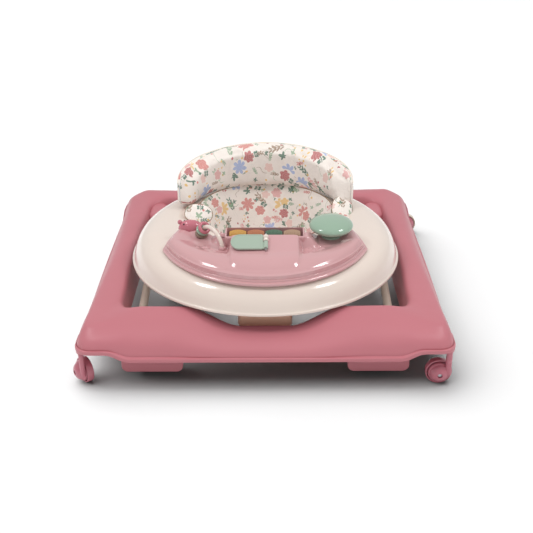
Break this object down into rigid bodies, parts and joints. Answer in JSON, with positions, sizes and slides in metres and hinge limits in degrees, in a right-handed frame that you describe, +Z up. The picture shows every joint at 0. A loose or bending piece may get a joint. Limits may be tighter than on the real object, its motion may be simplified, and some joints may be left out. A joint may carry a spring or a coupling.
{
  "type": "baby walker",
  "caption": "Wheeled baby walker with a padded fabric seat in a round tray, a toy tray on top, crossed folding legs and a square base ring on swivel casters.",
  "frame": {"origin": "on the floor, in the middle of the footprint with the casters as they stand", "axes": "+Z up, -Y towards the front where the toy tray is, +X towards the sitting child's left"},
  "size_m": [0.7016, 0.682, 0.289],
  "materials": {
    "base_pink": "smooth satin moulded plastic",
    "trim_pink": "smooth semi-gloss plastic",
    "cream_plastic": "semi-gloss plastic",
    "cream_gloss": "polished plastic",
    "cream_tube": "powder-coated steel tube",
    "blush_gloss": "polished plastic",
    "tan_plastic": "satin plastic",
    "mint_gloss": "polished plastic",
    "rose_gloss": "polished plastic",
    "taupe_plastic": "satin plastic",
    "ochre_plastic": "grained plastic",
    "terracotta_plastic": "grained plastic",
    "forest_plastic": "grained plastic",
    "floral_fabric": "woven cotton with a small flower print",
    "pad_rubber": "plain rubber",
    "steel": "zinc plated"
  },
  "bodies": {
    "base": {"base_shell": "base_pink", "stop_pad_front_left": "pad_rubber", "stop_pad_front_right": "pad_rubber", "stop_pad_rear_left": "pad_rubber", "stop_pad_rear_right": "pad_rubber", "rear_pivot_pin_left": "steel", "rear_pivot_pin_right": "steel", "front_runner_left": "base_pink", "front_runner_right": "base_pink"},
    "leg_inner": {"leg_frame_inner": "cream_tube", "leg_plug_inner_left": "trim_pink", "leg_plug_inner_right": "trim_pink", "cross_pin_left": "steel", "cross_pin_right": "steel"},
    "leg_outer": {"leg_frame_outer": "cream_tube", "leg_plug_outer_left": "trim_pink", "leg_plug_outer_right": "trim_pink", "front_slide_pin_left": "steel", "front_slide_pin_right": "steel"},
    "tray": {"tray_ring": "cream_gloss", "rear_clamp_left": "base_pink", "rear_clamp_right": "base_pink", "height_rack_left": "base_pink", "height_rack_right": "base_pink", "adjuster_housing": "base_pink", "toy_tray": "blush_gloss", "roller_axle": "steel", "mushroom_stem": "mint_gloss", "page_wire": "steel", "animal": "rose_gloss", "arch_rod": "cream_gloss", "seat_ring": "cream_gloss", "seat_bucket": "floral_fabric", "seat_back": "floral_fabric"},
    "lever": {"adjuster_lever": "tan_plastic"},
    "page": {"page": "mint_gloss"},
    "bead_front": {"page_bead_front": "cream_gloss"},
    "bead_rear": {"page_bead_rear": "cream_gloss"},
    "mushroom": {"mushroom_cap": "mint_gloss"},
    "caster_front_left": {"caster_fork_front_left": "trim_pink", "caster_screw_front_left": "steel"},
    "wheel_front_left": {"caster_wheel_front_left": "trim_pink"},
    "caster_front_right": {"caster_fork_front_right": "trim_pink", "caster_screw_front_right": "steel"},
    "wheel_front_right": {"caster_wheel_front_right": "trim_pink"},
    "caster_rear_left": {"caster_fork_rear_left": "trim_pink", "caster_screw_rear_left": "steel"},
    "wheel_rear_left": {"caster_wheel_rear_left": "cream_plastic"},
    "caster_rear_right": {"caster_fork_rear_right": "trim_pink", "caster_screw_rear_right": "steel"},
    "wheel_rear_right": {"caster_wheel_rear_right": "cream_plastic"},
    "roller_ochre": {"roller_ochre": "ochre_plastic"},
    "roller_terracotta": {"roller_terracotta": "terracotta_plastic"},
    "roller_forest": {"roller_forest": "forest_plastic"},
    "roller_taupe": {"roller_taupe": "taupe_plastic"},
    "ring_rose": {"ring_rose": "rose_gloss"},
    "ring_green": {"ring_green": "mint_gloss"},
    "ring_taupe": {"ring_taupe": "taupe_plastic"}
  },
  "joints": [
    {"name": "fold", "type": "hinge", "parent": "base", "child": "leg_inner", "pos_m": [0, 0.21, 0.052], "axis": [-1, 0, 0], "range_deg": [0, 22]},
    {"name": "leg_cross", "type": "hinge", "parent": "leg_inner", "child": "leg_outer", "pos_m": [0, -0.0065, 0.08289], "axis": [1, 0, 0], "range_deg": [0, 44]},
    {"name": "tray_level", "type": "hinge", "parent": "leg_outer", "child": "tray", "pos_m": [0, 0.1835, 0.11], "axis": [-1, 0, 0], "range_deg": [0, 22]},
    {"name": "lever_pull", "type": "slide", "parent": "tray", "child": "lever", "axis": [0, -1, 0], "range_m": [0, 0.01], "stiffness_N_per_m": 300},
    {"name": "swivel_front_left", "type": "hinge", "parent": "base", "child": "caster_front_left", "pos_m": [-0.327, -0.323, 0.06], "axis": [0, 0, 1], "continuous": true},
    {"name": "roll_front_left", "type": "hinge", "parent": "caster_front_left", "child": "wheel_front_left", "pos_m": [-0.33137, -0.30763, 0.0235], "axis": [0.809, 0.5878, 0], "continuous": true},
    {"name": "swivel_front_right", "type": "hinge", "parent": "base", "child": "caster_front_right", "pos_m": [0.317, -0.323, 0.06], "axis": [0, 0, 1], "continuous": true},
    {"name": "roll_front_right", "type": "hinge", "parent": "caster_front_right", "child": "wheel_front_right", "pos_m": [0.302, -0.3175, 0.0235], "axis": [0, 1, 0], "continuous": true},
    {"name": "swivel_rear_left", "type": "hinge", "parent": "base", "child": "caster_rear_left", "pos_m": [-0.327, 0.32, 0.06], "axis": [0, 0, 1], "continuous": true},
    {"name": "roll_rear_left", "type": "hinge", "parent": "caster_rear_left", "child": "wheel_rear_left", "pos_m": [-0.31108, 0.31865, 0.0235], "axis": [-0.4226, -0.9063, 0], "continuous": true},
    {"name": "swivel_rear_right", "type": "hinge", "parent": "base", "child": "caster_rear_right", "pos_m": [0.317, 0.32, 0.06], "axis": [0, 0, 1], "continuous": true},
    {"name": "roll_rear_right", "type": "hinge", "parent": "caster_rear_right", "child": "wheel_rear_right", "pos_m": [0.332, 0.3255, 0.0235], "axis": [0, -1, 0], "continuous": true},
    {"name": "roller_spin_ochre", "type": "hinge", "parent": "tray", "child": "roller_ochre", "pos_m": [-0.0551, -0.1425, 0.20583], "axis": [1, 0, 0], "continuous": true},
    {"name": "roller_spin_terracotta", "type": "hinge", "parent": "tray", "child": "roller_terracotta", "pos_m": [-0.0217, -0.1425, 0.20583], "axis": [1, 0, 0], "continuous": true},
    {"name": "roller_spin_forest", "type": "hinge", "parent": "tray", "child": "roller_forest", "pos_m": [0.0117, -0.1425, 0.20583], "axis": [1, 0, 0], "continuous": true},
    {"name": "roller_spin_taupe", "type": "hinge", "parent": "tray", "child": "roller_taupe", "pos_m": [0.0451, -0.1425, 0.20583], "axis": [1, 0, 0], "continuous": true},
    {"name": "mushroom_spin", "type": "hinge", "parent": "tray", "child": "mushroom", "pos_m": [0.119, -0.11912, 0.21721], "axis": [0, -0.0582, 0.9983], "continuous": true},
    {"name": "page_turn", "type": "hinge", "parent": "tray", "child": "page", "pos_m": [-0.003, -0.1852, 0.21736], "axis": [0, 0.963, 0.2695], "range_deg": [0, 165]},
    {"name": "bead_spin_front", "type": "hinge", "parent": "tray", "child": "bead_front", "pos_m": [-0.003, -0.1852, 0.21736], "axis": [0, 0.963, 0.2695], "continuous": true},
    {"name": "bead_spin_rear", "type": "hinge", "parent": "tray", "child": "bead_rear", "pos_m": [-0.003, -0.1852, 0.21736], "axis": [0, 0.963, 0.2695], "continuous": true},
    {"name": "ring_slide_rose", "type": "hinge", "parent": "tray", "child": "ring_rose", "pos_m": [-0.104, -0.14382, 0.19403], "axis": [0.7716, 0.635, 0.037], "range_deg": [0, 80]},
    {"name": "ring_spin_green", "type": "hinge", "parent": "tray", "child": "ring_green", "pos_m": [-0.12194, -0.12309, 0.21241], "axis": [-0.3305, 0.4499, -0.8297], "continuous": true},
    {"name": "ring_spin_taupe", "type": "hinge", "parent": "tray", "child": "ring_taupe", "pos_m": [-0.12437, -0.11962, 0.20344], "axis": [-0.1539, 0.2428, -0.9578], "continuous": true}
  ],
  "couplings": [
    {"joint": "leg_cross", "follows": "fold", "ratio": 2},
    {"joint": "tray_level", "follows": "fold", "ratio": 1}
  ]
}
